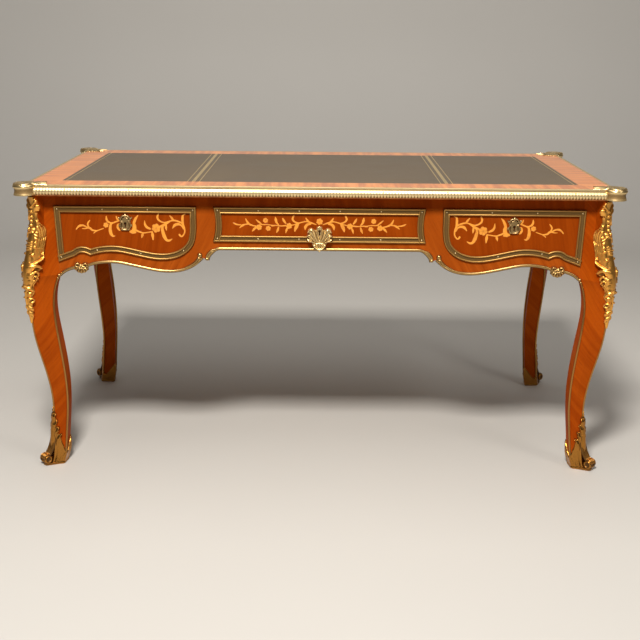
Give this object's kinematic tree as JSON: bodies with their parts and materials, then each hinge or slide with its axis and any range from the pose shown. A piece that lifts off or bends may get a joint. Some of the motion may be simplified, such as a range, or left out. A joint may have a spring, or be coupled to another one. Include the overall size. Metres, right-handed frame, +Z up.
{
  "type": "bureau plat writing desk",
  "caption": "Leather-topped writing desk on cabriole legs, with shaped frieze drawers that slide and lock, marquetry veneer and gilt bronze mounts.",
  "frame": {"origin": "on the floor, under the middle of the top", "axes": "+X along the front to the right, +Y from the front to the back, +Z up"},
  "size_m": [1.5822, 0.8502, 0.784],
  "materials": {
    "veneer": "polished satin",
    "oak": "waxed",
    "leather": "polished, gold tooled",
    "gilt_bronze": "burnished gilt",
    "antique_bronze": "toned satin",
    "lock_brass": "brushed",
    "steel": "plain"
  },
  "bodies": {
    "carcass": {"apron_beads": "gilt_bronze", "apron_shells": "gilt_bronze", "back_frieze": "veneer", "button_screws": "steel", "chute_back_left": "gilt_bronze", "chute_back_right": "gilt_bronze", "chute_front_left": "gilt_bronze", "chute_front_right": "gilt_bronze", "corner_clasps": "gilt_bronze", "drawer_kickers": "oak", "drawer_runners": "oak", "drawer_stops": "oak", "front_apron": "veneer", "front_stile_left": "veneer", "front_stile_right": "veneer", "front_top_rail": "veneer", "leather_centre": "leather", "leather_left": "leather", "leather_right": "leather", "leg_back_left": "veneer", "leg_back_right": "veneer", "leg_beads": "gilt_bronze", "leg_front_left": "veneer", "leg_front_right": "veneer", "panel_frames": "antique_bronze", "partition_left": "oak", "partition_right": "oak", "sabot_back_left": "antique_bronze", "sabot_back_right": "antique_bronze", "sabot_front_left": "antique_bronze", "sabot_front_right": "antique_bronze", "side_frieze_left": "veneer", "side_frieze_right": "veneer", "top_board": "veneer", "top_buttons": "oak", "top_edge_back": "gilt_bronze", "top_edge_front": "gilt_bronze", "top_edge_left": "gilt_bronze", "top_edge_right": "gilt_bronze"},
    "left_drawer": {"left_drawer_bottom": "oak", "left_drawer_escutcheon": "gilt_bronze", "left_drawer_frame": "antique_bronze", "left_drawer_front": "veneer", "left_drawer_walls": "oak", "left_lock_case": "lock_brass"},
    "left_bolt": {"left_lock_bolt": "lock_brass"},
    "centre_drawer": {"centre_drawer_bottom": "oak", "centre_drawer_escutcheon": "gilt_bronze", "centre_drawer_frame": "antique_bronze", "centre_drawer_front": "veneer", "centre_drawer_walls": "oak", "centre_lock_case": "lock_brass"},
    "centre_bolt": {"centre_lock_bolt": "lock_brass"},
    "right_drawer": {"right_drawer_bottom": "oak", "right_drawer_escutcheon": "gilt_bronze", "right_drawer_frame": "antique_bronze", "right_drawer_front": "veneer", "right_drawer_walls": "oak", "right_lock_case": "lock_brass"},
    "right_bolt": {"right_lock_bolt": "lock_brass"}
  },
  "joints": [
    {"name": "left_drawer_slide", "type": "slide", "parent": "carcass", "child": "left_drawer", "axis": [0, -1, 0], "range_m": [0, 0.36]},
    {"name": "left_bolt_throw", "type": "slide", "parent": "left_drawer", "child": "left_bolt", "axis": [0, 0, 1], "range_m": [0, 0.008]},
    {"name": "centre_drawer_slide", "type": "slide", "parent": "carcass", "child": "centre_drawer", "axis": [0, -1, 0], "range_m": [0, 0.36]},
    {"name": "centre_bolt_throw", "type": "slide", "parent": "centre_drawer", "child": "centre_bolt", "axis": [0, 0, 1], "range_m": [0, 0.008]},
    {"name": "right_drawer_slide", "type": "slide", "parent": "carcass", "child": "right_drawer", "axis": [0, -1, 0], "range_m": [0, 0.36]},
    {"name": "right_bolt_throw", "type": "slide", "parent": "right_drawer", "child": "right_bolt", "axis": [0, 0, 1], "range_m": [0, 0.008]}
  ]
}
